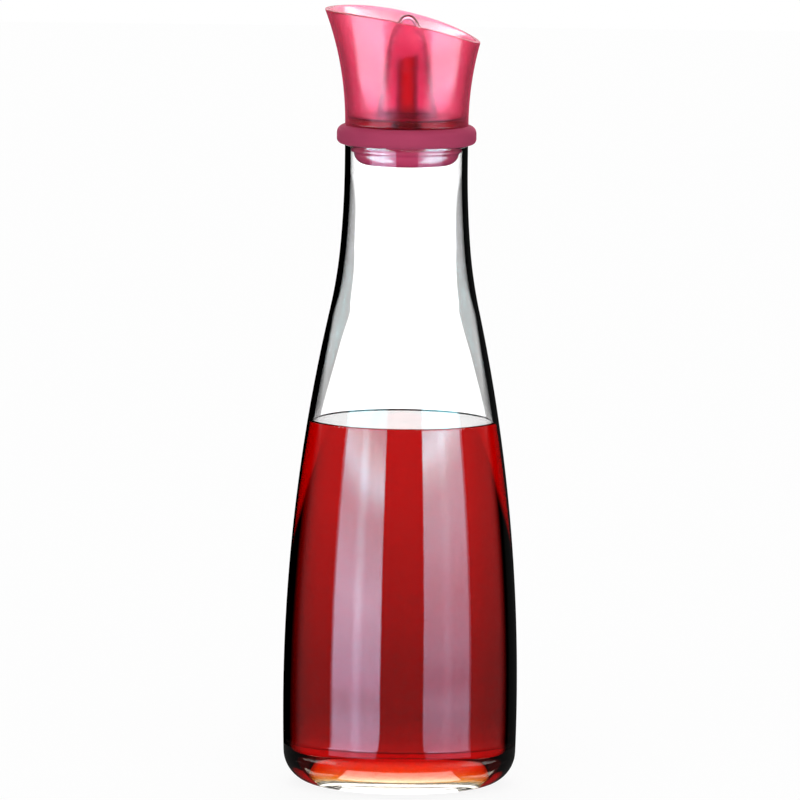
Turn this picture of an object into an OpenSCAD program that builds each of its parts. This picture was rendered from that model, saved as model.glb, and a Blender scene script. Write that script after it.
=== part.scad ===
// Glass table bottle for oil or vinegar, with a push-in pouring closure.
// All sizes are in millimetres. The glass stands on z = 0 and its axis is Z. The low lip of the cup
// faces +X, and the high one -X.

/* [Bottle] */
// Height of the glass from the table to its rim
bottle_h = 205.8; // [195:0.2:230]
// Widest diameter of the body
body_d = 75; // [68:0.1:84]
// Height of the widest ring above the table
belly_h = 28.2; // [24:0.2:36]
// Outside diameter of the neck
neck_d = 39.3; // [37:0.1:42]
// Straight length of the neck under the rim
neck_straight = 6.5; // [3:0.5:16]
// Radius of the long hollow curve that opens the neck
neck_curve_r = 314; // [240:2:400]
// How far the outline leans out at the end of that curve, in degrees
neck_curve_lean = 4.8; // [3:0.1:6]
// Radius of the shoulder, the tighter hollow curve below it
shoulder_r = 156; // [80:2:200]
// Radius of the heel, where the side turns into the base
heel_r = 10.6; // [8:0.2:14]
// Thickness of the glass wall
glass_wall = 1.8; // [1.6:0.1:2.4]
// Thickness of the base at the ring that it stands on
base_thick = 5; // [3:0.1:6]
// Rise of the domed inside floor at its middle
floor_dome = 3.5; // [1:0.1:5]
// Inside radius of the heel
heel_in_r = 9; // [6:0.5:12]
// Diameter of the hollow under the base
push_up_d = 44; // [30:1:48]
// Depth of that hollow
push_up_h = 1.2; // [0.6:0.1:1.6]
// Rounding of the rim's two edges
rim_round = 0.7; // [0.4:0.1:0.7]

/* [Contents] */
// Height of the liquid above the table
fill_h = 117; // [40:1:140]
// How high the liquid climbs where it meets the glass
meniscus = 0.4; // [0.3:0.1:2]

/* [Silicone seal] */
// Diameter of the collar that stands on the rim
collar_d = 44.6; // [43:0.1:48]
// Height of the collar
collar_h = 6; // [5.6:0.1:9]
// Rounding of the collar's upper edge
collar_top_round = 2.5; // [1.5:0.1:3]
// Rounding of the collar's lower edge
collar_low_round = 1.7; // [1:0.1:2.5]
// Diameter of the plug inside the neck
plug_d = 33.6; // [32.8:0.1:34]
// Length of the plug below the collar
plug_len = 6.5; // [6:0.5:10]
// Rounding at the foot of the plug
plug_round = 4; // [3:0.2:4.4]
// Height of the sealing rib on the plug
rib_h = 1.7; // [1:0.1:2]
// Distance from the collar to the sealing rib
rib_drop = 0.8; // [0.4:0.1:1.2]
// Opening in the lip at the foot of the plug
plug_mouth_d = 21; // [12:0.5:22]

/* [Pouring cup] */
// Diameter of the cup at its foot
cup_foot_d = 39.4; // [38:0.1:41]
// Radius of the curve that flares the cup's side
cup_flare_r = 103; // [90:1:140]
// Height of the high lip above the foot
lip_high = 37.1; // [33:0.1:42]
// Height of the low lip above the foot
lip_low = 26.8; // [20:0.1:30]
// Radius of the sweep that cuts the rim between the two lips
rim_sweep_r = 130; // [70:1:200]
// Thickness of the cup's side
cup_wall = 1.6; // [1.2:0.1:2.2]
// Thickness of the cup's floor
cup_floor = 2.2; // [1.6:0.1:3]
// Inside rounding between the floor and the side
cup_fillet = 1.2; // [0.6:0.1:2]
// Outside diameter of the spigot that holds the seal
spigot_d = 30.2; // [29:0.1:30.4]
// Length of the spigot
spigot_len = 10; // [6:0.5:10]
// Bevel at the spigot's end, which leads it into the seal
spigot_lead = 0.5; // [0.3:0.1:0.8]
// Height of the ring that centres the cap
seat_h = 2.4; // [1.5:0.1:4]
// Thickness of that ring
seat_wall = 1; // [0.8:0.1:1.4]
// Diameter of the two holes that let air in and drips back
drip_hole_d = 2; // [1.2:0.1:2.2]

/* [Spout] */
// Outside diameter of the spout tube
tube_d = 6.6; // [4.8:0.1:7]
// Bore of the spout tube
tube_bore_d = 4.2; // [2:0.1:4.4]
// Height of the tube's highest point above the cup's foot
tube_top = 22.7; // [14:0.1:25]
// Slope of the cut across the tube's end, in degrees
tube_cut = 15; // [0:1:35]
// Diameter of the flange under the floor
flange_d = 10.8; // [9:0.2:14]
// Thickness of that flange
flange_h = 1.2; // [0.8:0.1:2]

/* [Spout cap] */
// Diameter of the cap at its foot
cap_d = 19.8; // [18:0.1:21]
// Height of the cap
cap_h = 33.2; // [31:0.1:38]
// Slope of the cap's side, in degrees from upright
cap_taper = 8.7; // [6:0.1:9]
// Slope of the cap's point, in degrees from upright
cap_point = 30; // [24:1:38]
// Rounding at the very tip
cap_tip_r = 3.2; // [2:0.1:4]
// Rounding where the side turns into the point
cap_turn_r = 6; // [2:0.5:8]
// Thickness of the cap
cap_wall = 1.25; // [1:0.05:1.6]

/* [Fits] */
// Gap round the sealing rib in the neck
rib_gap = 0.1; // [0.05:0.01:0.2]
// Gap round the spigot in the seal, and round the spout in the floor
push_gap = 0.1; // [0.05:0.01:0.2]
// Gap round the ring inside the cap
cap_gap = 0.15; // [0.1:0.01:0.3]
// Film between the liquid and the glass
film_gap = 0.1; // [0.05:0.01:0.3]

/* [Smoothness] */
// Longest straight step along a curved outline
chord = 3; // [1.5:0.5:5]

/* [Hidden] */
$fn = 96;

over = 1; // how far a cutting shape runs past what it cuts
min_steps = 6; // fewest steps in any rounding

neck_r = neck_d / 2;
neck_curve_z = bottle_h - neck_straight;

// The bottle's side is one smooth run of arcs: the neck's hollow curve, the shoulder, and the long
// body curve that ends upright at the belly. Its lean where shoulder and body curve meet follows
// from closing the run between neck and belly.
hollow_out = (neck_curve_r - shoulder_r) * (1 - cos(neck_curve_lean));
hollow_down = (neck_curve_r - shoulder_r) * sin(neck_curve_lean);
run_out = body_d / 2 - neck_r - hollow_out;
run_down = neck_curve_z - belly_h - hollow_down;
shoulder_lean = 2 * atan(run_out / run_down);
body_curve_r = run_down / sin(shoulder_lean) - shoulder_r;

body_x = body_d / 2 - body_curve_r;
neck_curve_x = neck_r + neck_curve_r;
shoulder_x = neck_curve_x - (neck_curve_r - shoulder_r) * cos(neck_curve_lean);
shoulder_z = neck_curve_z - hollow_down;

seam_z = bottle_h + collar_h; // where the cup stands on the collar
bore_r = neck_r - glass_wall;
rib_r = bore_r - rib_gap;
spigot_r = spigot_d / 2;
floor_z = seam_z + cup_floor;
cap_foot_r = cap_d / 2;
seat_r = cap_side_x(cap_wall, seat_h) - cap_gap;
drip_r = (seat_r - seat_wall + tube_d / 2) / 2;

// The rim is cut by a cylinder lying along Y, through the highest and the lowest point of the lip.
lip_a = [-cup_r(lip_high), lip_high];
lip_b = [cup_r(lip_low), lip_low];
lip_dir = (lip_b - lip_a) / norm(lip_b - lip_a);
lip_reach = sqrt(pow(rim_sweep_r, 2) - pow(norm(lip_b - lip_a) / 2, 2));
sweep_at = (lip_a + lip_b) / 2 + lip_reach * [lip_dir[1], -lip_dir[0]];

// Points on an arc from angle a to angle b.
function arc(x, z, r, a, b) =
    let (n = max(min_steps, ceil(abs(b - a) * PI * r / 180 / chord)))
    [for (i = [0:n]) let (t = a + (b - a) * i / n) [x + r * cos(t), z + r * sin(t)]];

// The same outline without points that repeat.
function tidy(p) = [for (i = [0:len(p) - 1]) if (i == 0 || norm(p[i] - p[max(i - 1, 0)]) > 0.001) p[i]];

// The bottle's side from base to rim, a distance "inset" inside its outer face.
function side(inset, heel, foot_z) =
    let (reach = body_curve_r - inset - heel,
         rise = belly_h - foot_z - heel,
         heel_x = body_x + sqrt(reach * reach - rise * rise),
         low = -asin(rise / reach))
    concat(
        arc(heel_x, foot_z + heel, heel, -90, low),
        arc(body_x, belly_h, body_curve_r - inset, low, shoulder_lean),
        arc(shoulder_x, shoulder_z, shoulder_r + inset, 180 + shoulder_lean, 180 + neck_curve_lean),
        arc(neck_curve_x, neck_curve_z, neck_curve_r + inset, 180 + neck_curve_lean, 180)
    );

// The domed inside floor, from the axis out to radius x, where its height is z.
function dome(x, z) =
    let (r = (x * x + floor_dome * floor_dome) / (2 * floor_dome))
    arc(0, z + floor_dome - r, r, 90, acos(x / r));

// Radius of the body curve at height z, a distance "inset" inside its outer face.
function body_r(inset, z) = body_x + sqrt(pow(body_curve_r - inset, 2) - pow(z - belly_h, 2));

// Radius of the cup's outer face at height z above its foot.
function cup_r(z) = cup_foot_d / 2 + cup_flare_r - sqrt(pow(cup_flare_r, 2) - z * z);

// The cap's side is a cone, its point a steeper cone, and an arc turns one into the other. These give
// the side's reach and the arc's centre, with heights above the cap's foot.
cap_side_c = cap_foot_r * cos(cap_taper);
cap_tip_z = cap_h - cap_tip_r;
cap_point_c = cap_tip_z * sin(cap_point) + cap_tip_r;
cap_turn_z = ((cap_point_c - cap_turn_r) * cos(cap_taper) - (cap_side_c - cap_turn_r) * cos(cap_point))
    / sin(cap_point - cap_taper);
cap_turn_x = (cap_side_c - cap_turn_r - cap_turn_z * sin(cap_taper)) / cos(cap_taper);
function cap_side_x(inset, z) = (cap_foot_r * cos(cap_taper) - inset - z * sin(cap_taper)) / cos(cap_taper);
function cap_outline(inset) = concat(
    [[cap_side_x(inset, 0), 0]],
    arc(cap_turn_x, cap_turn_z, cap_turn_r - inset, cap_taper, cap_point),
    arc(0, cap_tip_z, cap_tip_r - inset, cap_point, 90)
);

module turned(points) {
    rotate_extrude() polygon(tidy(points));
}

// Clear glass: a thin wall, a thick base with a domed floor and a shallow hollow under it, and a
// rounded rim.
module glass_bottle() {
    hollow_r = (pow(push_up_d / 2, 2) + pow(push_up_h, 2)) / (2 * push_up_h);
    hollow_a = asin(push_up_d / 2 / hollow_r);
    wall = side(glass_wall, heel_in_r, base_thick);
    inside = concat(dome(wall[0][0], base_thick), wall);
    color([0.86, 0.93, 0.92, 0.35]) turned(concat(
        arc(0, push_up_h - hollow_r, hollow_r, 90, 90 - hollow_a),
        side(0, heel_r, 0),
        arc(neck_r - rim_round, bottle_h - rim_round, rim_round, 0, 90),
        arc(bore_r + rim_round, bottle_h - rim_round, rim_round, 90, 180),
        [for (i = [len(inside) - 1:-1:0]) inside[i]]
    ));
}

// The liquid fills the inside of the glass up to its level and climbs a little at the wall.
module liquid_contents() {
    inset = glass_wall + film_gap;
    wall = side(inset, heel_in_r - film_gap, base_thick + film_gap);
    wet_r = body_r(inset, fill_h + meniscus);
    color([0.66, 0.08, 0.1]) rotate_extrude() difference() {
        polygon(tidy(concat(dome(wall[0][0], base_thick + film_gap), wall, [[0, neck_curve_z]])));
        polygon(tidy(concat(
            [[-over, fill_h]],
            arc(wet_r - meniscus, fill_h + meniscus, meniscus, -90, 0),
            [[body_d, fill_h + meniscus], [body_d, bottle_h], [-over, bottle_h]]
        )));
    }
}

// Soft seal: a round-edged collar on the rim, and a ribbed plug that fills the neck.
module silicone_seal() {
    collar_r = collar_d / 2;
    plug_r = plug_d / 2;
    hole_r = spigot_r + push_gap;
    rib_round = rib_h / 2;
    rib_z = bottle_h - rib_drop - rib_round;
    foot_z = bottle_h - plug_len;
    shelf_z = seam_z - spigot_len - push_gap;
    color([0.72, 0.3, 0.42]) turned(concat(
        [[hole_r, shelf_z], [hole_r, seam_z]],
        arc(collar_r - collar_top_round, seam_z - collar_top_round, collar_top_round, 90, 0),
        arc(collar_r - collar_low_round, bottle_h + collar_low_round, collar_low_round, 0, -90),
        [[plug_r, bottle_h], [plug_r, rib_z + rib_round]],
        arc(rib_r - rib_round, rib_z, rib_round, 90, -90),
        [[plug_r, rib_z - rib_round]],
        arc(plug_r - plug_round, foot_z + plug_round, plug_round, 0, -90),
        [[plug_mouth_d / 2, foot_z], [plug_mouth_d / 2, shelf_z]]
    ));
}

// Stiff satin cup: flared side, floor, ring that centres the cap, and the spigot that holds the seal.
module pouring_cup() {
    flare_top = asin((lip_high + over) / cup_flare_r);
    flare_x = cup_foot_d / 2 + cup_flare_r;
    floor_hole_r = tube_d / 2 + push_gap;
    fillet_reach = cup_flare_r + cup_wall + cup_fillet;
    flare_foot = asin((cup_floor + cup_fillet) / fillet_reach);
    fillet_x = flare_x - fillet_reach * cos(flare_foot);
    color([0.85, 0.2, 0.34, 0.85]) difference() {
        intersection() {
            turned(concat(
                [[spigot_r - spigot_lead, seam_z - spigot_len],
                 [spigot_r, seam_z - spigot_len + spigot_lead], [spigot_r, seam_z]],
                arc(flare_x, seam_z, cup_flare_r, 180, 180 - flare_top),
                arc(flare_x, seam_z, cup_flare_r + cup_wall, 180 - flare_top, 180 - flare_foot),
                arc(fillet_x, floor_z + cup_fillet, cup_fillet, -flare_foot, -90),
                [[seat_r, floor_z], [seat_r, floor_z + seat_h],
                 [seat_r - seat_wall, floor_z + seat_h], [seat_r - seat_wall, floor_z],
                 [floor_hole_r, floor_z], [floor_hole_r, seam_z],
                 [spigot_r - cup_wall, seam_z], [spigot_r - cup_wall, seam_z - spigot_len]]
            ));
            translate([sweep_at[0], 0, seam_z + sweep_at[1]]) rotate([90, 0, 0])
                cylinder(r = rim_sweep_r, h = 4 * cup_r(lip_high), center = true, $fn = 360);
        }
        for (way = [-1, 1]) translate([0, way * drip_r, seam_z - over])
            cylinder(d = drip_hole_d, h = cup_floor + 2 * over);
    }
}

// Spout tube with a slanted end, held by its flange under the cup's floor.
module pour_spout() {
    slant = tube_d * tan(tube_cut);
    color([0.76, 0.1, 0.14]) difference() {
        turned([
            [tube_bore_d / 2, seam_z - flange_h], [flange_d / 2, seam_z - flange_h],
            [flange_d / 2, seam_z], [tube_d / 2, seam_z],
            [tube_d / 2, seam_z + tube_top], [tube_bore_d / 2, seam_z + tube_top]
        ]);
        translate([tube_d / 2, 0, seam_z + tube_top]) rotate([0, -tube_cut, 0])
            translate([-2 * tube_d, -tube_d, 0]) cube([4 * tube_d, 2 * tube_d, slant + tube_d]);
    }
}

// Hollow pointed cap that stands on the cup's floor over the spout.
module spout_cap() {
    inner = cap_outline(cap_wall);
    color([0.88, 0.3, 0.4, 0.85]) translate([0, 0, floor_z])
        turned(concat(cap_outline(0), [for (i = [len(inner) - 1:-1:0]) inner[i]]));
}

glass_bottle();
liquid_contents();
silicone_seal();
pouring_cup();
pour_spout();
spout_cap();
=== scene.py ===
"""Looks of the glass table bottle: turned glass, red liquid, silicone seal and satin closure."""

import math

import bmesh
import bpy
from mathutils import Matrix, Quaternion, Vector


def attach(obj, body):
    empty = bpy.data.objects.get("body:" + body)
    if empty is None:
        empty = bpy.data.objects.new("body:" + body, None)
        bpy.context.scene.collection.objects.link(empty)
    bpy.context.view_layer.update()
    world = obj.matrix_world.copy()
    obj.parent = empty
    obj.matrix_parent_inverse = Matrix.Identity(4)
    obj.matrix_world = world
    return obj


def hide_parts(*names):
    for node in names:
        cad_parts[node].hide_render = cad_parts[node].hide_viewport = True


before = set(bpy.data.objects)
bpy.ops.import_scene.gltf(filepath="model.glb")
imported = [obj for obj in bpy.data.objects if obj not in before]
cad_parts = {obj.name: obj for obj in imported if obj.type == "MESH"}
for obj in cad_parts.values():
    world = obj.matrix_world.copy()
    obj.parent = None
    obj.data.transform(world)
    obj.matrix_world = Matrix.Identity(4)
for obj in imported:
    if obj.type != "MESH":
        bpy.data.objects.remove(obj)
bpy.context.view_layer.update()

MM = 0.001

# ---------------------------------------------------------------- driving sizes, in millimetres

SEGMENTS = 160          # steps round every turned piece
CHORD = 1.2             # longest step along an outline
MIN_STEPS = 8           # fewest steps in a rounding
SAME_POINT = 0.004      # outline points closer than this are one
ON_AXIS = 1e-6          # a smaller radius is on the axis

BOTTLE_H = 205.8
BODY_R = 37.5
BELLY_H = 28.2          # height at which the body is widest
NECK_R = 19.65
NECK_STRAIGHT = 6.5
NECK_CURVE_R = 314
NECK_CURVE_LEAN = 4.8   # degrees from upright where the neck's curve meets the shoulder's
SHOULDER_R = 156
HEEL_R = 10.6
GLASS_WALL = 1.8
BASE_THICK = 5.0
FLOOR_DOME = 3.5        # rise of the inside floor at its middle
HEEL_IN_R = 9.0
PUSH_UP_R = 22.0
PUSH_UP_H = 1.2
STIPPLE_R = 20.0        # the underside is stippled inside this radius
RIM_ROUND = 0.7

FILL_H = 117.0
MENISCUS = 0.28
WETTING = 0.05          # how far the liquid's skin lies inside the glass, for optical contact

COLLAR_R = 22.3
COLLAR_H = 6.0
COLLAR_TOP_ROUND = 2.5
COLLAR_LOW_ROUND = 1.7
PLUG_R = 16.8
PLUG_LEN = 6.5
PLUG_ROUND = 4.0
RIB_H = 1.7
RIB_DROP = 0.8          # from the collar down to the sealing rib
RIB_R = 17.75
PLUG_MOUTH_R = 10.5

CUP_FOOT_R = 19.7
CUP_FLARE_R = 103.0
LIP_HIGH = 37.1
LIP_LOW = 26.8
RIM_SWEEP_R = 130.0
RIM_SOFT = 0.5          # how far the rounding of the cup's rim reaches
RIM_SHARES = (0.25, 0.5, 0.75)  # where the points of that rounding lie
RIM_TRIES = 30          # rounds in which the rim's height settles
WALL_STEPS = 40         # steps up each face of the cup
CUP_WALL = 1.6
CUP_FLOOR = 2.2
CUP_FILLET = 1.2
SPIGOT_R = 15.1
SPIGOT_LEN = 10.0
SPIGOT_LEAD = 0.5
SEAT_R = 8.13
SEAT_H = 2.4
SEAT_WALL = 1.0
FIT_GAP = 0.1

TUBE_R = 3.3
TUBE_BORE_R = 2.1
TUBE_TOP = 22.7         # of the higher side of the tube's slanted end, above the seam
TUBE_CUT = 15           # slant of the tube's end, in degrees
TUBE_SOFT = 0.2         # rounding of the tube's edges
FLANGE_R = 5.4
FLANGE_H = 1.2

CAP_R = 9.9
CAP_H = 33.2
CAP_TAPER = 8.7         # lean of the cap's side, in degrees
CAP_POINT = 30          # lean of its point, in degrees
CAP_TIP_R = 3.2
CAP_TURN_R = 6.0
CAP_WALL = 1.25

SEAM_Z = BOTTLE_H + COLLAR_H
FLOOR_Z = SEAM_Z + CUP_FLOOR
TUBE_SLOPE = math.tan(math.radians(TUBE_CUT))


def sin(degrees):
    return math.sin(math.radians(degrees))


def cos(degrees):
    return math.cos(math.radians(degrees))


# ---------------------------------------------------------------- outlines, as (radius, height)


def arc(x, z, r, a, b):
    """Points on an arc about (x, z) from angle a to angle b."""
    steps = max(MIN_STEPS, math.ceil(abs(b - a) * math.pi * r / 180 / CHORD))
    angles = [a + (b - a) * i / steps for i in range(steps + 1)]
    return [(x + r * cos(t), z + r * sin(t)) for t in angles]


def line(a, b):
    """Points on a straight line from a to b, both included."""
    steps = max(1, math.ceil(math.dist(a, b) / CHORD))
    out, up = b[0] - a[0], b[1] - a[1]
    return [(a[0] + out * i / steps, a[1] + up * i / steps) for i in range(steps + 1)]


def path(*corners):
    """Points on straight lines from corner to corner."""
    return [p for a, b in zip(corners, corners[1:]) for p in line(a, b)]


def tidy(points):
    """The outline without repeated points."""
    kept = [points[0]]
    for p in points[1:]:
        if math.dist(p, kept[-1]) > SAME_POINT:
            kept.append(p)
    return kept


def bottle_arcs():
    """Centres and radii of the three arcs of the bottle's side, closed between neck and belly."""
    neck_z = BOTTLE_H - NECK_STRAIGHT
    hollow_out = (NECK_CURVE_R - SHOULDER_R) * (1 - cos(NECK_CURVE_LEAN))
    hollow_down = (NECK_CURVE_R - SHOULDER_R) * sin(NECK_CURVE_LEAN)
    run_out = BODY_R - NECK_R - hollow_out
    run_down = neck_z - BELLY_H - hollow_down
    lean = 2 * math.degrees(math.atan(run_out / run_down))
    body_r = run_down / sin(lean) - SHOULDER_R
    neck_x = NECK_R + NECK_CURVE_R
    shoulder_x = neck_x - (NECK_CURVE_R - SHOULDER_R) * cos(NECK_CURVE_LEAN)
    return lean, (BODY_R - body_r, BELLY_H, body_r), (shoulder_x, neck_z - hollow_down), (neck_x, neck_z)


def side(inset, heel, foot_z):
    """The bottle's side from base to rim, a distance inset inside its outer face."""
    lean, (body_x, body_z, body_r), shoulder, neck = bottle_arcs()
    reach = body_r - inset - heel
    rise = body_z - foot_z - heel
    heel_x = body_x + math.sqrt(reach ** 2 - rise ** 2)
    low = -math.degrees(math.asin(rise / reach))
    return (
        arc(heel_x, foot_z + heel, heel, -90, low)
        + arc(body_x, body_z, body_r - inset, low, lean)
        + arc(*shoulder, SHOULDER_R + inset, 180 + lean, 180 + NECK_CURVE_LEAN)
        + arc(*neck, NECK_CURVE_R + inset, 180 + NECK_CURVE_LEAN, 180)
    )


def body_radius(inset, z):
    """Radius of the body curve at height z."""
    body_x, body_z, body_r = bottle_arcs()[1]
    return body_x + math.sqrt((body_r - inset) ** 2 - (z - body_z) ** 2)


def inside_floor(edge):
    """The inside floor's low dome, from the foot of the side, edge, to the axis."""
    x, z = edge
    r = (x * x + FLOOR_DOME ** 2) / (2 * FLOOR_DOME)
    return arc(0, z + FLOOR_DOME - r, r, math.degrees(math.acos(x / r)), 90)


def glass_outline():
    """(outer, inner) halves of the glass outline, meeting on top of the rim."""
    hollow_r = (PUSH_UP_R ** 2 + PUSH_UP_H ** 2) / (2 * PUSH_UP_H)
    hollow_a = math.degrees(math.asin(PUSH_UP_R / hollow_r))
    bore = NECK_R - GLASS_WALL
    rim_z = BOTTLE_H - RIM_ROUND
    outer = (
        arc(0, PUSH_UP_H - hollow_r, hollow_r, 90, 90 - hollow_a)
        + side(0, HEEL_R, 0)
        + line((NECK_R, BOTTLE_H - NECK_STRAIGHT), (NECK_R, rim_z))
        + arc(NECK_R - RIM_ROUND, rim_z, RIM_ROUND, 0, 90)
    )
    inner = (
        arc(bore + RIM_ROUND, rim_z, RIM_ROUND, 90, 180)
        + line((bore, rim_z), (bore, BOTTLE_H - NECK_STRAIGHT))
        + side(GLASS_WALL, HEEL_IN_R, BASE_THICK)[::-1]
    )
    inner += inside_floor(inner[-1])[1:]
    return tidy(outer), tidy(inner)


def liquid_outline():
    """The liquid from the middle of its foot up its side, over the meniscus and in to its middle."""
    inset = GLASS_WALL - WETTING
    wet_z = FILL_H + MENISCUS
    wet_r = body_radius(inset, wet_z)
    flank = side(inset, HEEL_IN_R + WETTING, BASE_THICK - WETTING)
    flank = [p for p in flank if p[1] < wet_z - CHORD / 2]
    surface = arc(wet_r - MENISCUS, wet_z, MENISCUS, 0, -90)
    return tidy(inside_floor(flank[0])[::-1] + flank + surface + line(surface[-1], (0, FILL_H)))


def seal_outline():
    """The silicone seal's closed outline."""
    hole = SPIGOT_R + FIT_GAP
    shelf = SEAM_Z - SPIGOT_LEN - FIT_GAP
    rib_z = BOTTLE_H - RIB_DROP - RIB_H / 2
    foot = BOTTLE_H - PLUG_LEN
    top_x = COLLAR_R - COLLAR_TOP_ROUND
    low_x = COLLAR_R - COLLAR_LOW_ROUND
    foot_x = PLUG_R - PLUG_ROUND
    points = path((hole, shelf), (hole, SEAM_Z), (top_x, SEAM_Z))
    points += arc(top_x, SEAM_Z - COLLAR_TOP_ROUND, COLLAR_TOP_ROUND, 90, 0)
    points += arc(low_x, BOTTLE_H + COLLAR_LOW_ROUND, COLLAR_LOW_ROUND, 0, -90)
    points += line((low_x, BOTTLE_H), (PLUG_R, BOTTLE_H))
    points += [(PLUG_R, rib_z + RIB_H / 2)]
    points += arc(RIB_R - RIB_H / 2, rib_z, RIB_H / 2, 90, -90)
    points += line((PLUG_R, rib_z - RIB_H / 2), (PLUG_R, foot + PLUG_ROUND))
    points += arc(foot_x, foot + PLUG_ROUND, PLUG_ROUND, 0, -90)
    points += path((foot_x, foot), (PLUG_MOUTH_R, foot), (PLUG_MOUTH_R, shelf), (hole, shelf))
    return tidy(points)[:-1]


def cup_radius(z, inset=0.0):
    """Radius of the cup's side at height z above its foot."""
    return CUP_FOOT_R + CUP_FLARE_R - math.sqrt((CUP_FLARE_R + inset) ** 2 - z * z)


def cup_underside():
    """From the spigot's open end, up its outer face and out to the cup's foot, above that foot."""
    end = path((SPIGOT_R - CUP_WALL, -SPIGOT_LEN), (SPIGOT_R - SPIGOT_LEAD, -SPIGOT_LEN))
    return tidy(end + path((SPIGOT_R, SPIGOT_LEAD - SPIGOT_LEN), (SPIGOT_R, 0), (CUP_FOOT_R, 0)))


def cup_inside():
    """From the wall's fillet over the floor, the ring and the tube's hole to the spigot's end."""
    reach = CUP_FLARE_R + CUP_WALL + CUP_FILLET
    fillet_z = CUP_FLOOR + CUP_FILLET
    fillet_a = math.degrees(math.asin(fillet_z / reach))
    fillet_x = CUP_FOOT_R + CUP_FLARE_R - reach * cos(fillet_a)
    fillet = arc(fillet_x, fillet_z, CUP_FILLET, -fillet_a, -90)
    ring_z = CUP_FLOOR + SEAT_H
    ring_x = SEAT_R - SEAT_WALL
    hole = TUBE_R + FIT_GAP
    bore = SPIGOT_R - CUP_WALL
    floor_path = path(
        fillet[-1], (SEAT_R, CUP_FLOOR), (SEAT_R, ring_z), (ring_x, ring_z), (ring_x, CUP_FLOOR),
        (hole, CUP_FLOOR), (hole, 0), (bore, 0), (bore, -SPIGOT_LEN))
    return tidy(fillet + floor_path)[:-1]


def spout_outline():
    """The tube's closed outline with its flange, before its end is slanted."""
    flange_x = FLANGE_R - TUBE_SOFT
    flange_z = SEAM_Z - FLANGE_H
    top = SEAM_Z + TUBE_TOP - TUBE_R * TUBE_SLOPE
    soft_z = top - TUBE_SOFT
    return tidy(
        line((TUBE_BORE_R, flange_z), (flange_x, flange_z))
        + arc(flange_x, flange_z + TUBE_SOFT, TUBE_SOFT, -90, 0)
        + path((FLANGE_R, flange_z + TUBE_SOFT), (FLANGE_R, SEAM_Z), (TUBE_R, SEAM_Z), (TUBE_R, soft_z))
        + arc(TUBE_R - TUBE_SOFT, soft_z, TUBE_SOFT, 0, 90)
        + arc(TUBE_BORE_R + TUBE_SOFT, soft_z, TUBE_SOFT, 90, 180)
        + line((TUBE_BORE_R, soft_z), (TUBE_BORE_R, flange_z)))[:-1]


def cap_outline(inset):
    """The pointed cap's outline from foot to tip, a distance inset inside its outer face."""
    side_c = CAP_R * cos(CAP_TAPER)
    tip_z = CAP_H - CAP_TIP_R
    point_c = tip_z * sin(CAP_POINT) + CAP_TIP_R
    turn_z = (point_c - CAP_TURN_R) * cos(CAP_TAPER) - (side_c - CAP_TURN_R) * cos(CAP_POINT)
    turn_z /= sin(CAP_POINT - CAP_TAPER)
    turn_x = (side_c - CAP_TURN_R - turn_z * sin(CAP_TAPER)) / cos(CAP_TAPER)
    turn = arc(turn_x, turn_z, CAP_TURN_R - inset, CAP_TAPER, CAP_POINT)
    tip = arc(0, tip_z, CAP_TIP_R - inset, CAP_POINT, 90)
    foot = ((side_c - inset) / cos(CAP_TAPER), 0)
    points = tidy(line(foot, turn[0]) + turn + line(turn[-1], tip[0]) + tip)
    return [(x, z + FLOOR_Z) for x, z in points]


# ---------------------------------------------------------------- meshes


def finish_mesh(name, vertices, faces, materials, indices=None):
    """A smooth-shaded object from points in millimetres; indices are the faces' materials."""
    mesh = bpy.data.meshes.new(name)
    mesh.from_pydata([Vector(v) * MM for v in vertices], [], faces)
    for m in materials:
        mesh.materials.append(m)
    for i, polygon in enumerate(mesh.polygons):
        polygon.use_smooth = True
        if indices:
            polygon.material_index = indices[i]
    mesh.validate()
    shell = bmesh.new()
    shell.from_mesh(mesh)
    bmesh.ops.recalc_face_normals(shell, faces=shell.faces)
    shell.to_mesh(mesh)
    shell.free()
    mesh.update()
    obj = bpy.data.objects.new(name, mesh)
    bpy.context.scene.collection.objects.link(obj)
    return obj


def turned(name, outline, materials, slots=None, closed=False, shape=None):
    """Turns an outline about Z. An open outline starts and ends on the axis; a closed one is a ring.

    slots gives the material of each outline step; shape(x, y, z) may move a point."""
    vertices, faces, indices, rings = [], [], [], []
    for r, z in outline:
        if r < ON_AXIS:
            rings.append([len(vertices)])
            vertices.append((0, 0, z))
            continue
        rings.append(range(len(vertices), len(vertices) + SEGMENTS))
        for s in range(SEGMENTS):
            a = 360 * s / SEGMENTS
            point = (r * cos(a), r * sin(a), z)
            vertices.append(shape(*point) if shape else point)
    pairs = list(zip(rings, rings[1:]))
    if closed:
        pairs.append((rings[-1], rings[0]))
    for i, (low, high) in enumerate(pairs):
        slot = slots[i] if slots else 0
        for s in range(SEGMENTS):
            t = (s + 1) % SEGMENTS
            if len(low) == 1:
                face = (low[0], high[t], high[s])
            elif len(high) == 1:
                face = (low[s], low[t], high[0])
            else:
                face = (low[s], low[t], high[t], high[s])
            faces.append(face)
            indices.append(slot)
    return finish_mesh(name, vertices, faces, materials, indices)


def settle(obj, body, node):
    """Puts a finished piece on its CAD body, in place of its CAD node."""
    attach(obj, body)
    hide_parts(node)


# ---------------------------------------------------------------- node helpers


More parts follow.
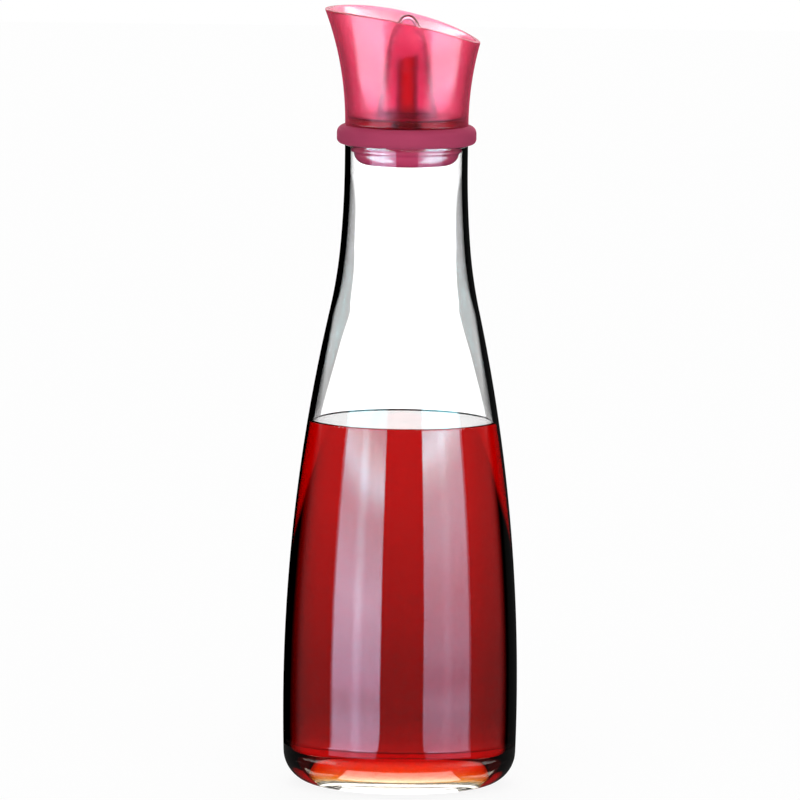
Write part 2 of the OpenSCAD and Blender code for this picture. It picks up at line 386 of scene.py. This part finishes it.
class Nodes:
    """Short names for building a node tree."""

    def __init__(self, tree):
        self.tree = tree
        tree.nodes.clear()

    def add(self, kind, **settings):
        """A new node; settings are its properties or, where it has none so named, its inputs."""
        node = self.tree.nodes.new("ShaderNode" + kind)
        for key, value in settings.items():
            if hasattr(node, key):
                setattr(node, key, value)
            else:
                self.put(node, key.replace("_", " "), value)
        return node

    def put(self, node, socket, value):
        """Links or writes a value to a node's input."""
        target = node.inputs[socket]
        if isinstance(value, bpy.types.NodeSocket):
            self.tree.links.new(value, target)
        else:
            target.default_value = value

    def axes(self, vector):
        """The x, y and z of a vector."""
        node = self.add("SeparateXYZ")
        self.put(node, 0, vector)
        return node.outputs

    def place(self):
        """Where a point lies on its object."""
        return self.add("TexCoord").outputs["Object"]

    def math(self, operation, *values):
        node = self.add("Math", operation=operation)
        for i, value in enumerate(values):
            self.put(node, i, value)
        return node.outputs[0]

    def times(self, a, b):
        return self.math("MULTIPLY", a, b)

    def plus(self, a, b):
        return self.math("ADD", a, b)

    def above(self, value, bound):
        """1 where a value is above its bound, else 0."""
        return self.math("GREATER_THAN", value, bound)

    def step(self, value, low, high, start=0.0, end=1.0):
        """A soft change from start to end between low and high."""
        node = self.add("MapRange", interpolation_type="SMOOTHSTEP")
        sockets = ("Value", "From Min", "From Max", "To Min", "To Max")
        for socket, number in zip(sockets, (value, low, high, start, end)):
            self.put(node, socket, number)
        return node.outputs["Result"]

    def window(self, value, low, high, soft):
        """1 between low and high, falling to 0 outside them."""
        rise = self.step(value, low - soft, low + soft)
        fall = self.step(value, high - soft, high + soft, 1.0, 0.0)
        return self.times(rise, fall)

    def blend(self, factor, a, b):
        """Plain mix of two numbers."""
        return self.plus(self.times(a, self.math("SUBTRACT", 1.0, factor)), self.times(b, factor))

    def spread(self, value, half):
        """A value between -half and half as a share from 0 to 1."""
        return self.math("DIVIDE", self.plus(value, half), 2 * half)

    def levels(self, value, stops, half):
        """Brightness from (value, level) stops within plus or minus half."""
        greys = [((a + half) / (2 * half), (level, level, level)) for a, level in stops]
        return self.ramp(self.spread(value, half), greys)

    def mix(self, factor, a, b):
        """Mix of two colours; 0, 6 and 7 are the node's factor and its two colour inputs."""
        node = self.add("Mix", data_type="RGBA")
        for socket, value in ((0, factor), (6, a), (7, b)):
            self.put(node, socket, value)
        return node.outputs[2]

    def mix_shaders(self, factor, a, b):
        node = self.add("MixShader")
        for socket, value in enumerate((factor, a, b)):
            self.put(node, socket, value)
        return node.outputs[0]

    def ramp(self, factor, stops):
        """Colour from (share, colour) stops."""
        node = self.add("ValToRGB")
        self.put(node, 0, factor)
        elements = node.color_ramp.elements
        while len(elements) < len(stops):
            elements.new(0.5)
        for element, (position, colour) in zip(elements, stops):
            element.position = position
            element.color = (*colour, 1)
        return node.outputs[0]

    def noise(self, place, scale, detail):
        node = self.add("TexNoise", Scale=scale, Detail=detail)
        self.put(node, "Vector", place)
        return node.outputs["Fac"]

    def bump(self, height, strength, distance):
        node = self.add("Bump", Strength=strength, Distance=distance)
        self.put(node, "Height", height)
        return node.outputs[0]

    def sheen(self, shader, weight, roughness, tint):
        """A soft light edge on a shader."""
        self.put(shader, "Sheen Weight", weight)
        self.put(shader, "Sheen Roughness", roughness)
        self.put(shader, "Sheen Tint", (*tint, 1))

    def absorption(self, colour, density):
        """Colour that deepens with thickness."""
        volume = self.add("VolumeAbsorption", Density=density)
        self.put(volume, "Color", (*colour, 1))
        return volume.outputs[0]

    def surface(self, shader, volume=None):
        """Ends the tree in a material output."""
        out = self.add("OutputMaterial")
        self.put(out, "Surface", shader)
        if volume:
            self.put(out, "Volume", volume)


def material(name):
    """A new material and the builder of its nodes."""
    m = bpy.data.materials.new(name)
    m.use_nodes = True
    return m, Nodes(m.node_tree)


# ---------------------------------------------------------------- materials

WHITE = (1, 1, 1, 1)

LIQUID_SPAN = 0.12      # metres of height over which the liquid's painted shade runs
LIQUID_PAINTED_SHADE = (        # (share of the span, colour) of painted shade, darkest some way above the foot, from the foot up
    (0.05, (1.0, 0.96, 0.9)), (0.075, (1.0, 0.94, 0.9)), (0.11, (0.8, 0.9, 0.9)),
    (0.15, (0.5, 0.8, 0.8)), (0.24, (0.525, 0.8, 0.8)), (0.34, (0.57, 0.8, 0.8)),
    (0.43, (0.71, 0.85, 0.85)), (0.56, (0.83, 0.9, 0.9)), (0.76, (1, 1, 1)))
LIQUID_DEPTH = (0.9754, 0.68, 0.0)
LIQUID_DENSITY = 700.0

SILICONE_SHEEN = {"roughness": 0.45, "tint": (1.0, 0.16, 0.42)}
SILICONE_UNEVEN = 0.9   # share of its colour that the silicone has in its darkest patches
MATTE = {"colour": (0.57, 0.076, 0.168), "roughness": 0.55, "shine": 0.02, "sheen": 0.0}
# painted light: the plug's colour is far brighter than the collar's, standing in for light the collar and
# neck keep off it; its gloss is its own
MOULDED_WITH_PAINTED_LIGHT = {"colour": (1.0, 0.075, 0.24), "roughness": 0.12, "shine": 1.0, "sheen": 0.3}

PLASTIC_SHEEN = {"roughness": 0.55, "tint": (1.0, 0.14, 0.26)}
PLASTIC_UNEVEN = 0.03   # how far the plastic's roughness strays
PLASTIC_PATCHES = (0.3, 0.7)    # the noise between which it does
TINT_RUN = 4.0          # a plastic's tints and painted light run over a quarter of a metre
CRIMSON = {             # tints are (height in millimetres, colour) stops from the lowest up; on the cup, painted shade darkens the foot and painted light pales the lower wall
    "tints_and_painted_light": ((212.5, (0.55, 0.08, 0.14)), (215.5, (1.0, 0.72, 0.80)), (236, (0.97, 0.61, 0.70))),
    "colour": (1.0, 0.0, 0.35), "density": 500.0, "roughness": 0.2, "sheen": 1.0,
    "shine": 0.5, "index": 1.5}
DEEP_RED = {
    "tints_and_painted_light": ((SEAM_Z, (1.0, 0.10, 0.16)),),
    "colour": (1.0, 0.0, 0.0), "density": 500.0, "roughness": 0.3, "sheen": 0.0,
    "shine": 0.2, "index": 1.5}
# painted reflection: the cap's tints make it paler low down, standing in for light mirrored on its lower
# part
CLEAR_ROSE = {
    "tints_and_painted_light": ((217, (1.0, 0.80, 0.94)), (231, (0.92, 0.8, 0.87))),
    "colour": (0.97, 0.0, 0.3), "density": 200.0, "roughness": 0.18, "sheen": 0.3,
    "shine": 0.3, "index": 1.3}


def clear_glass(name, roughness):
    """Clear soda glass with faint waves."""
    m, n = material(name)
    shader = n.add("BsdfPrincipled", Roughness=roughness, IOR=1.5)
    n.put(shader, "Transmission Weight", 1.0)
    n.put(shader, "Base Color", WHITE)
    waves = n.noise(n.place(), scale=45.0, detail=1.0)
    n.put(shader, "Normal", n.bump(waves, strength=0.15, distance=0.0002))
    n.surface(shader.outputs[0])
    return m


def red_liquid():
    """Clear red vinegar: amber where thin, deep red where thick, with painted shade by height that is
    darkest some way above its foot.
    """
    m, n = material("red_liquid")
    shader = n.add("BsdfPrincipled", Roughness=0.0, IOR=1.36)
    n.put(shader, "Transmission Weight", 1.0)
    height = n.math("DIVIDE", n.axes(n.place())["Z"], LIQUID_SPAN)
    # painted shade: the base colour is darkened by height, most some way above the foot and not at all
    # near the top
    n.put(shader, "Base Color", n.ramp(height, LIQUID_PAINTED_SHADE))
    n.surface(shader.outputs[0], n.absorption(LIQUID_DEPTH, LIQUID_DENSITY))
    return m


def rose_silicone(name, colour, roughness, shine, sheen):
    """Rose silicone with a very fine grain and a slightly uneven colour."""
    m, n = material(name)
    shader = n.add("BsdfPrincipled", Roughness=roughness, IOR=1.41)
    n.put(shader, "Specular IOR Level", shine)
    n.sheen(shader, sheen, **SILICONE_SHEEN)
    place = n.place()
    patches = n.noise(place, scale=160.0, detail=3.0)
    darker = tuple(SILICONE_UNEVEN * c for c in colour)
    n.put(shader, "Base Color", n.mix(patches, (*colour, 1), (*darker, 1)))
    grain = n.noise(place, scale=5200.0, detail=2.0)
    n.put(shader, "Normal", n.bump(grain, strength=0.35, distance=0.00003))
    n.surface(shader.outputs[0])
    return m


def satin_plastic(name, tints_and_painted_light, colour, density, roughness, sheen, shine, index):
    """Translucent satin plastic: tinted faces, colour that deepens with thickness, soft light edges.

    A single stop in tints_and_painted_light is an even colour all over; more stops change the colour by
    height, which on the cup and cap is painted light and shade."""
    m, n = material(name)
    shader = n.add("BsdfPrincipled", IOR=index)
    n.put(shader, "Transmission Weight", 1.0)
    n.put(shader, "Specular IOR Level", shine)
    n.sheen(shader, sheen, **PLASTIC_SHEEN)
    place = n.place()
    if len(tints_and_painted_light) == 1:
        n.put(shader, "Base Color", (*tints_and_painted_light[0][1], 1))
    else:
        # painted light and shade: on the cup and cap the base colour changes with height
        rise = n.times(n.axes(place)["Z"], TINT_RUN)
        n.put(shader, "Base Color", n.ramp(rise, [(TINT_RUN * z * MM, tint) for z, tint in tints_and_painted_light]))
    patches = n.noise(place, scale=240.0, detail=3.0)
    smoothest, roughest = roughness - PLASTIC_UNEVEN, roughness + PLASTIC_UNEVEN
    n.put(shader, "Roughness", n.step(patches, *PLASTIC_PATCHES, smoothest, roughest))
    grain = n.noise(place, scale=2600.0, detail=2.0)
    n.put(shader, "Normal", n.bump(grain, strength=0.2, distance=0.00001))
    n.surface(shader.outputs[0], n.absorption(colour, density))
    return m


# ---------------------------------------------------------------- pieces

PUSH_UP_RIM = 0.1       # how far above the push-up an outline step may lie and still be stippled
PLUG_SPLIT = 0.01       # the moulded part of the seal starts this far under the collar


def make_glass():
    """The bottle, with a stippled middle of its underside."""
    outer, inner = glass_outline()
    outline = tidy(outer + inner)
    slots = [int(z < PUSH_UP_H + PUSH_UP_RIM and r < STIPPLE_R) for r, z in outline]
    looks = [clear_glass("clear_glass", roughness=0.0), clear_glass("stippled_base", roughness=0.9)]
    glass = turned("blown_glass_bottle", outline, looks, slots=slots)
    settle(glass, "bottle", "glass_bottle")


def make_liquid():
    """The liquid, a solid that fills the glass to its level."""
    liquid = turned("red_vinegar", liquid_outline(), [red_liquid()])
    settle(liquid, "bottle", "liquid_contents")


def make_seal():
    """The seal: a matte collar on the rim and a glossier plug below it, whose colour is lifted as painted
    light against the shade in the glass neck.
    """
    outline = seal_outline()
    slots = [int(z < BOTTLE_H - PLUG_SPLIT) for r, z in outline]
    looks = [rose_silicone("matte_silicone", **MATTE), rose_silicone("moulded_silicone_painted_light", **MOULDED_WITH_PAINTED_LIGHT)]
    seal = turned("silicone_collar_and_plug", outline, looks, slots=slots, closed=True)
    settle(seal, "closure", "silicone_seal")


def rim_sweep():
    """Centre of the cylinder along Y that cuts the cup's rim, above the cup's foot."""
    a = Vector((-cup_radius(LIP_HIGH), LIP_HIGH))
    b = Vector((cup_radius(LIP_LOW), LIP_LOW))
    along = (b - a).normalized()
    reach = math.sqrt(RIM_SWEEP_R ** 2 - ((b - a).length / 2) ** 2)
    return (a + b) / 2 + reach * Vector((along.y, -along.x))


def rim_height(angle, inset, centre):
    """Height above the foot at which the cup's side meets the rim's sweep, at an angle about Z."""
    z = LIP_LOW
    for _ in range(RIM_TRIES):
        across = cup_radius(z, inset) * cos(angle) - centre.x
        z = centre.y + math.sqrt(RIM_SWEEP_R ** 2 - across ** 2)
    return z


def rim_edge(top, inset):
    """A face's edge at the rim, and a step from it down that face."""
    edge = Vector((cup_radius(top, inset), top))
    lower = Vector((cup_radius(top - 1, inset), top - 1))
    return edge, (lower - edge).normalized() * RIM_SOFT


def rounded(corner, before, after):
    """Points that cut a corner, from a step before it to a step after it."""
    return [tuple(corner + before * (1 - t) ** 2 + after * t ** 2) for t in RIM_SHARES]


def cup_column(angle, centre):
    """The cup's closed outline at an angle about Z, up its outer face and down its inner one."""
    top_out = rim_height(angle, 0, centre)
    top_in = rim_height(angle, CUP_WALL, centre)
    out, down_out = rim_edge(top_out, 0.0)
    into, down_in = rim_edge(top_in, CUP_WALL)
    over = (into - out).normalized() * RIM_SOFT
    inside = cup_inside()
    foot = inside[0][1]
    rises = [top_out * i / WALL_STEPS for i in range(1, WALL_STEPS)] + [top_out - RIM_SOFT]
    falls = [foot + (top_in - RIM_SOFT - foot) * (1 - i / WALL_STEPS) for i in range(WALL_STEPS)]
    return (
        cup_underside()
        + [(cup_radius(z), z) for z in rises]
        + rounded(out, down_out, over)
        + [tuple(out + over), tuple(into - over)]
        + rounded(into, -over, down_in)
        + [(cup_radius(z, CUP_WALL), z) for z in falls]
        + inside)


def make_cup():
    """The flared cup, a ring of outlines that each end on the slanted, softly edged rim."""
    centre = rim_sweep()
    vertices, faces = [], []
    for s in range(SEGMENTS):
        angle = 360 * s / SEGMENTS
        column = cup_column(angle, centre)
        vertices += [(r * cos(angle), r * sin(angle), z + SEAM_Z) for r, z in column]
    count = len(column)
    for s in range(SEGMENTS):
        t = (s + 1) % SEGMENTS
        for i in range(count):
            j = (i + 1) % count
            faces.append((s * count + i, t * count + i, t * count + j, s * count + j))
    cup = finish_mesh("flared_pouring_cup", vertices, faces, [satin_plastic("crimson_plastic", **CRIMSON)])
    settle(cup, "closure", "pouring_cup")


def slant(x, y, z):
    """Leans the spout's end over, more and more from half its height up."""
    half = (TUBE_TOP - TUBE_R * TUBE_SLOPE) / 2
    lean = max(0.0, (z - SEAM_Z - half) / half)
    return x, y, z + x * TUBE_SLOPE * lean


def make_spout():
    """The tube with its slanted end and its flange under the cup's floor."""
    look = satin_plastic("deep_red_plastic", **DEEP_RED)
    spout = turned("slanted_spout_tube", spout_outline(), [look], closed=True, shape=slant)
    settle(spout, "closure", "pour_spout")


def make_cap():
    """The hollow pointed cap."""
    outline = tidy(cap_outline(0)[::-1] + cap_outline(CAP_WALL))
    cap = turned("pointed_spout_cap", outline, [satin_plastic("cap_plastic", **CLEAR_ROSE)])
    settle(cap, "cap", "spout_cap")


# ---------------------------------------------------------------- studio
#
# Angles are in degrees about Z: azimuth from straight in front, behind from straight behind. Rise
# is a direction's z. A step is (from, to, level before, level after), a window (from, to, softness).

ONCE = 0.5              # a depth above this: the ray was mirrored, scattered or let through before
PAST_WALLS = 4.5        # a transmission depth above this: more than two walls were crossed
PAST_LIQUID = 6.5       # a transmission depth above this: more than glass and liquid were crossed

GROUND_HALF = 60.0
GROUND = (              # (angle behind, level) of the white ground seen through glass and liquid
    (-47, 0.0), (-45.5, 0.04), (-43, 0.25), (-39.5, 0.50), (-36, 0.60), (-30, 0.66), (-22, 0.88),
    (-12, 1.0), (12, 1.0), (22, 0.88), (31, 0.76), (36, 0.62), (40, 0.42), (44, 0.28), (47, 0.22),
    (50.5, 0.04), (52, 0.0))
GROUND_ASIDE = (87, 96, 0.0, 0.6)
GROUND_IN_FRONT = (118, 136, 0.0, 0.4)
GROUND_BELOW = (-0.264, -0.246, 0.85, 0.0)
GROUND_BY_RISE = (-0.0905, -0.0885, 1.62, 0.62)
HEEL_RISE = (-0.079, -0.074)
HEEL_LEVEL = 2.1        # for rays that the heel has bent up
DEEP_RISE = -0.1
DEEP_LEVEL = 1.1

BOX_SPREAD = (-0.16, -0.3)
BOX_SPREAD_BY = 25.0    # degrees by which a soft box is wider at its foot
LEFT_OUTER = (-73.6, -72.4)
LEFT_INNER = (-20.9, -19.7, 1, 0)
LEFT_INNER_SHARE = 0.85
RIGHT_INNER = (22.9, 24.1)
RIGHT_INNER_SHARE = -0.75
RIGHT_OUTER = (73.9, 75.1, 1, 0)
LEFT_TUBE = (-50, -41, 3)
LEFT_TUBE_LEVEL = 3.6
RIGHT_TUBE = (44, 53, 3)
RIGHT_TUBE_LEVEL = 1.6
BOX_LEVEL = 9.4
LEFT_LEVELS = (         # (rise, level)
    (-0.5, 0.56), (-0.36, 0.62), (-0.27, 0.95), (-0.2, 0.12), (-0.148, 0.138), (-0.129, 0.106),
    (-0.11, 0.135), (-0.072, 0.163), (-0.053, 0.172), (-0.015, 0.202), (0.024, 0.174),
    (0.062, 0.155), (0.081, 0.148), (0.1, 0.216), (0.119, 0.33), (0.137, 0.3), (0.157, 0.24),
    (0.175, 0.174), (0.2, 0.12), (0.3, 0.08))
RIGHT_LEVELS = (
    (-0.5, 0.6), (-0.36, 0.66), (-0.27, 0.95), (-0.2, 0.065), (-0.148, 0.081), (-0.129, 0.098),
    (-0.11, 0.067), (-0.072, 0.098), (-0.015, 0.108), (0.024, 0.131), (0.062, 0.163),
    (0.1, 0.171), (0.119, 0.208), (0.137, 0.272), (0.157, 0.41), (0.175, 0.37), (0.2, 0.25),
    (0.3, 0.2))
BOX_SHADES = (          # (rise, colour)
    (-0.4, (0.5, 1.0, 1.05)), (-0.28, (0.95, 1.0, 1.2)), (-0.2, (1.05, 1.0, 1.48)),
    (-0.13, (1.15, 1.0, 1.44)), (-0.11, (1.25, 1.0, 1.47)), (-0.072, (0.98, 1.0, 1.4)),
    (-0.015, (0.82, 1.0, 1.33)), (0.024, (0.67, 1.0, 1.3)), (0.062, (0.5, 1.0, 1.26)),
    (0.1, (0.42, 1.0, 1.2)), (0.15, (0.5, 1.0, 1.12)), (0.2, (0.36, 1.0, 1.14)))
SHADE_PEAK = 1.6        # a ramp holds no colour above 1, so the shades are kept smaller by this
SHADE_BELOW = (0.2, 0.24, 1.0, 0.0)
SHADE_FROM = (0.0, 0.5)

FILL = (-124, 124, 6)
FILL_LEVEL = 0.065
ABOVE = (-20, 115, 12)
ABOVE_RISE = (0.27, 0.62, 0.02)
ABOVE_LEVEL = (0.34, 0.54, 24.0, 0.0)
PANEL = (3, 44, 3)
PANEL_LEVEL = 0.02
BEYOND = (-10, 60, 8)
BEYOND_RISE = (0.05, 0.7, 0.02)
BEYOND_LEVEL = 2.0

INNER_LEVEL = 2.3       # the soft boxes, mirrored inside the glass
INNER_BACK = (-10, 40, 4)
INNER_BACK_RISE = (0.06, 0.08)
INNER_BACK_LEVEL = 2.0
INNER_ABOVE = (0.3, 0.4)
RISING_RISE = (0.02, 0.28, 0.02)
RISING = (-12, 24, 2)
RISING_LEVEL = 0.3
RISING_LEAST = 0.12

SOFT_POWER = 3.0
SOFT_LEVEL = 1.8
SOFT_LEAST = 0.06
SOFT_BY_RISE = 0.5
SOFT_INSIDE = 0.4       # more soft light for what is seen through another piece


class Ray:
    """The way a ray leaves for the world, and what it has met before, as sockets."""

    def __init__(self, n):
        self.x, y, self.rise = n.axes(n.add("TexCoord").outputs["Generated"])
        self.azimuth = self.degrees(n, n.times(y, -1.0))
        self.behind = self.degrees(n, y)
        self.aside = n.math("ABSOLUTE", self.azimuth)
        self.turn = n.math("ABSOLUTE", self.behind)
        met = n.add("LightPath").outputs
        self.first = met["Is Camera Ray"]
        self.reflected = met["Is Reflection Ray"]
        self.mirrored = n.above(met["Glossy Depth"], ONCE)
        self.scattered = n.above(met["Diffuse Depth"], ONCE)
        self.entered = n.above(met["Transmission Depth"], ONCE)
        self.past_walls = n.above(met["Transmission Depth"], PAST_WALLS)
        self.past_liquid = n.above(met["Transmission Depth"], PAST_LIQUID)

    def degrees(self, n, forward):
        """The ray's angle about Z from a direction along Y."""
        return n.times(n.math("ARCTAN2", self.x, forward), 180 / math.pi)


def ground(n, ray):
    """Seen through glass and liquid: white behind, falling off to the sides, white from elsewhere."""
    level = n.levels(ray.behind, GROUND, GROUND_HALF)
    around = n.plus(n.step(ray.turn, *GROUND_ASIDE), n.step(ray.turn, *GROUND_IN_FRONT))
    low = n.step(ray.rise, *GROUND_BELOW)
    level = n.math("MAXIMUM", n.math("MAXIMUM", level, around), low)
    bent_up = n.times(n.step(ray.rise, *HEEL_RISE), ray.past_walls)
    return n.times(level, n.blend(bent_up, n.step(ray.rise, *GROUND_BY_RISE), HEEL_LEVEL))


def soft_boxes(n, ray):
    """Two tall soft boxes in front, each with a brighter tube, that spread towards their feet."""
    wider = n.times(n.step(ray.rise, *BOX_SPREAD), BOX_SPREAD_BY)
    left_in = n.math("MULTIPLY_ADD", wider, LEFT_INNER_SHARE, ray.azimuth)
    left = n.times(n.step(n.plus(ray.azimuth, wider), *LEFT_OUTER), n.step(left_in, *LEFT_INNER))
    right_in = n.math("MULTIPLY_ADD", wider, RIGHT_INNER_SHARE, ray.azimuth)
    right_out = n.math("SUBTRACT", ray.azimuth, wider)
    right = n.times(n.step(right_in, *RIGHT_INNER), n.step(right_out, *RIGHT_OUTER))
    left = n.times(left, n.levels(ray.rise, LEFT_LEVELS, 1.0))
    right = n.times(right, n.levels(ray.rise, RIGHT_LEVELS, 1.0))
    tubes = n.plus(n.times(n.window(ray.azimuth, *LEFT_TUBE), LEFT_TUBE_LEVEL),
                   n.times(n.window(ray.azimuth, *RIGHT_TUBE), RIGHT_TUBE_LEVEL))
    return n.times(n.plus(left, right), n.plus(tubes, BOX_LEVEL))


def outer_gloss(n, ray, front):
    """Mirrored by an outer face: the front, light above it, a faint panel and the ground beyond."""
    above = n.times(n.window(ray.aside, *ABOVE), n.window(ray.rise, *ABOVE_RISE))
    above = n.times(above, n.step(ray.rise, *ABOVE_LEVEL))
    panel = n.times(n.window(ray.behind, *PANEL), PANEL_LEVEL)
    beyond = n.times(n.window(ray.turn, *BEYOND), n.window(ray.rise, *BEYOND_RISE))
    return n.plus(n.plus(front, above), n.plus(panel, n.times(beyond, BEYOND_LEVEL)))


def inner_gloss(n, ray, front, through):
    """Mirrored inside a piece: brighter boxes and ground, and less of it past the walls."""
    back = n.times(n.window(ray.turn, *INNER_BACK), n.step(ray.rise, *INNER_BACK_RISE))
    level = n.plus(n.times(front, INNER_LEVEL), n.times(back, INNER_BACK_LEVEL))
    level = n.plus(level, n.step(ray.rise, *INNER_ABOVE))
    level = n.times(level, n.math("SUBTRACT", 1.0, ray.past_walls))
    rising = n.times(n.window(ray.rise, *RISING_RISE), ray.past_walls)
    share = n.math("MULTIPLY_ADD", n.window(ray.behind, *RISING), RISING_LEVEL, RISING_LEAST)
    return n.plus(level, n.times(n.times(rising, share), through))


def soft_light(n, ray):
    """Light on matte faces, most from front and back, and more of it inside other pieces."""
    along = n.math("POWER", n.math("SUBTRACT", 1.0, n.times(ray.x, ray.x)), SOFT_POWER)
    level = n.math("MULTIPLY_ADD", along, SOFT_LEVEL, SOFT_LEAST)
    level = n.math("SUBTRACT", level, n.times(ray.rise, SOFT_BY_RISE))
    level = n.times(level, n.math("MULTIPLY_ADD", ray.entered, SOFT_INSIDE, 1.0))
    return n.math("MAXIMUM", level, 0.0)


def box_colour(n, ray, boxes):
    """The soft boxes' colour by rise where a ray mirrors them, white elsewhere."""
    stops = [((a + 1) / 2, tuple(c / SHADE_PEAK for c in colour)) for a, colour in BOX_SHADES]
    bright = n.add("VectorMath", operation="SCALE", Scale=SHADE_PEAK)
    n.put(bright, 0, n.ramp(n.spread(ray.rise, 1.0), stops))
    tint = n.times(ray.mirrored, n.step(boxes, *SHADE_FROM))
    tint = n.times(tint, n.step(ray.rise, *SHADE_BELOW))
    return n.mix(tint, WHITE, bright.outputs[0])


def studio_world():
    """White for the eye and for soft light; dark sides and tall soft boxes for glass and gloss."""
    world = bpy.data.worlds.new("studio")
    bpy.context.scene.world = world
    world.use_nodes = True
    world.cycles.sampling_method = "NONE"
    n = Nodes(world.node_tree)
    ray = Ray(n)
    through = ground(n, ray)
    boxes = soft_boxes(n, ray)
    front = n.plus(boxes, n.times(n.window(ray.azimuth, *FILL), FILL_LEVEL))
    mirrored = n.blend(
        ray.reflected, inner_gloss(n, ray, front, through), outer_gloss(n, ray, front))
    deep = n.times(ray.past_liquid, n.above(ray.rise, DEEP_RISE))
    strength = n.blend(ray.mirrored, n.blend(deep, through, DEEP_LEVEL), mirrored)
    strength = n.blend(ray.scattered, strength, soft_light(n, ray))
    strength = n.blend(ray.first, strength, 1.0)
    background = n.add("Background", Strength=strength)
    n.put(background, "Color", box_colour(n, ray, boxes))
    out = n.add("OutputWorld")
    n.put(out, "Surface", background.outputs[0])


FLOOR_HALF = 3.0
FLOOR_DROP = 0.0002
FLOOR_PALE = (0.9, 0.9, 0.9, 1)
FLOOR_SHADOW = (0.12, 0.12, 0.12, 1)
FLOOR_LIGHT = 0.9

GLOW_HALF = 0.019       # the light under the base is no further than this to each side
GLOW_R = 0.020          # and within this of the middle
GLOW_WIDER = 0.013      # or so much further for a mirrored ray
GLOW = 2.6
GLOW_MIRRORED = 3.2
NEAR_R = 0.10
NEAR_GLOW = 0.04
OUTSIDE = -20.0         # keeps a ray that ends in the light under the base from counting as mirrored


def floor_for_eye(n, seen):
    """White with a trace of shadow for the camera, plain pale for scattered light."""
    pale = n.add("BsdfDiffuse", Color=FLOOR_PALE)
    shadow = n.add("AddShader")
    n.put(shadow, 0, n.add("BsdfDiffuse", Color=FLOOR_SHADOW).outputs[0])
    n.put(shadow, 1, n.add("Emission", Color=WHITE, Strength=FLOOR_LIGHT).outputs[0])
    return n.mix_shaders(seen, pale.outputs[0], shadow.outputs[0])


def floor_for_glass(n, glossy):
    """Open to rays through the glass, but for a light under the base and a faint one round it."""
    place = n.place()
    distance = n.add("VectorMath", operation="LENGTH")
    n.put(distance, 0, place)
    distance = distance.outputs["Value"]
    mirrored = n.above(glossy, ONCE)
    narrow = n.math("LESS_THAN", n.math("ABSOLUTE", n.axes(place)["X"]), GLOW_HALF)
    reach = n.math("MULTIPLY_ADD", mirrored, GLOW_WIDER, GLOW_R)
    under = n.times(narrow, n.math("LESS_THAN", distance, reach))
    near = n.math("LESS_THAN", distance, NEAR_R)
    bounced = n.above(n.plus(glossy, n.times(under, OUTSIDE)), ONCE)
    glow = n.times(under, n.blend(mirrored, GLOW, GLOW_MIRRORED))
    glow = n.blend(bounced, glow, n.times(near, NEAR_GLOW))
    light = n.add("Emission", Strength=glow)
    return n.mix_shaders(
        n.blend(bounced, under, near), n.add("BsdfTransparent").outputs[0], light.outputs[0])


def floor():
    """A plain pale floor that shows white, with a trace of shadow."""
    mesh = bpy.data.meshes.new("floor")
    h = FLOOR_HALF
    mesh.from_pydata([(-h, -h, 0), (h, -h, 0), (h, h, 0), (-h, h, 0)], [], [(0, 1, 2, 3)])
    obj = bpy.data.objects.new("floor", mesh)
    obj.location.z = -FLOOR_DROP
    bpy.context.scene.collection.objects.link(obj)
    m, n = material("pale_floor")
    met = n.add("LightPath").outputs
    seen = met["Is Camera Ray"]
    lit = n.above(n.plus(seen, met["Diffuse Depth"]), ONCE)
    n.surface(n.mix_shaders(lit, floor_for_glass(n, met["Glossy Depth"]), floor_for_eye(n, seen)))
    mesh.materials.append(m)


CAMERA_DISTANCE = 3.84
CAMERA_HEIGHT = 0.555
CAMERA_AIM = (-0.00112, 0, 0.1234)
CAMERA_ROLL = 0.68      # degrees
CAMERA_SENSOR = 36
CAMERA_REACH = 20
LIGHT_BOUNCES = 24      # enough for light through glass, liquid, cup and cap
PICTURE_WIDTH = 800     # pixels of the photograph
PIXEL = 0.00032         # metres to a pixel at the bottle


def camera():
    """A long lens, a little above the bottle, with the photograph's slight roll."""
    data = bpy.data.cameras.new("camera")
    obj = bpy.data.objects.new("camera", data)
    bpy.context.scene.collection.objects.link(obj)
    aim = Vector(CAMERA_AIM)
    obj.location = (aim.x, -CAMERA_DISTANCE, CAMERA_HEIGHT)
    look = (aim - obj.location).to_track_quat("-Z", "Y")
    obj.rotation_mode = "QUATERNION"
    obj.rotation_quaternion = look @ Quaternion((0, 0, 1), math.radians(CAMERA_ROLL))
    data.sensor_width = CAMERA_SENSOR
    data.lens = data.sensor_width * (aim - obj.location).length / (PICTURE_WIDTH * PIXEL)
    data.clip_end = CAMERA_REACH
    bpy.context.scene.camera = obj


camera()
studio_world()
floor()
make_glass()
make_liquid()
make_seal()
make_cup()
make_spout()
make_cap()

scene = bpy.context.scene
scene.view_settings.view_transform = "Standard"
scene.cycles.max_bounces = LIGHT_BOUNCES
scene.cycles.transmission_bounces = LIGHT_BOUNCES
scene.cycles.glossy_bounces = 8
scene.cycles.transparent_max_bounces = 16
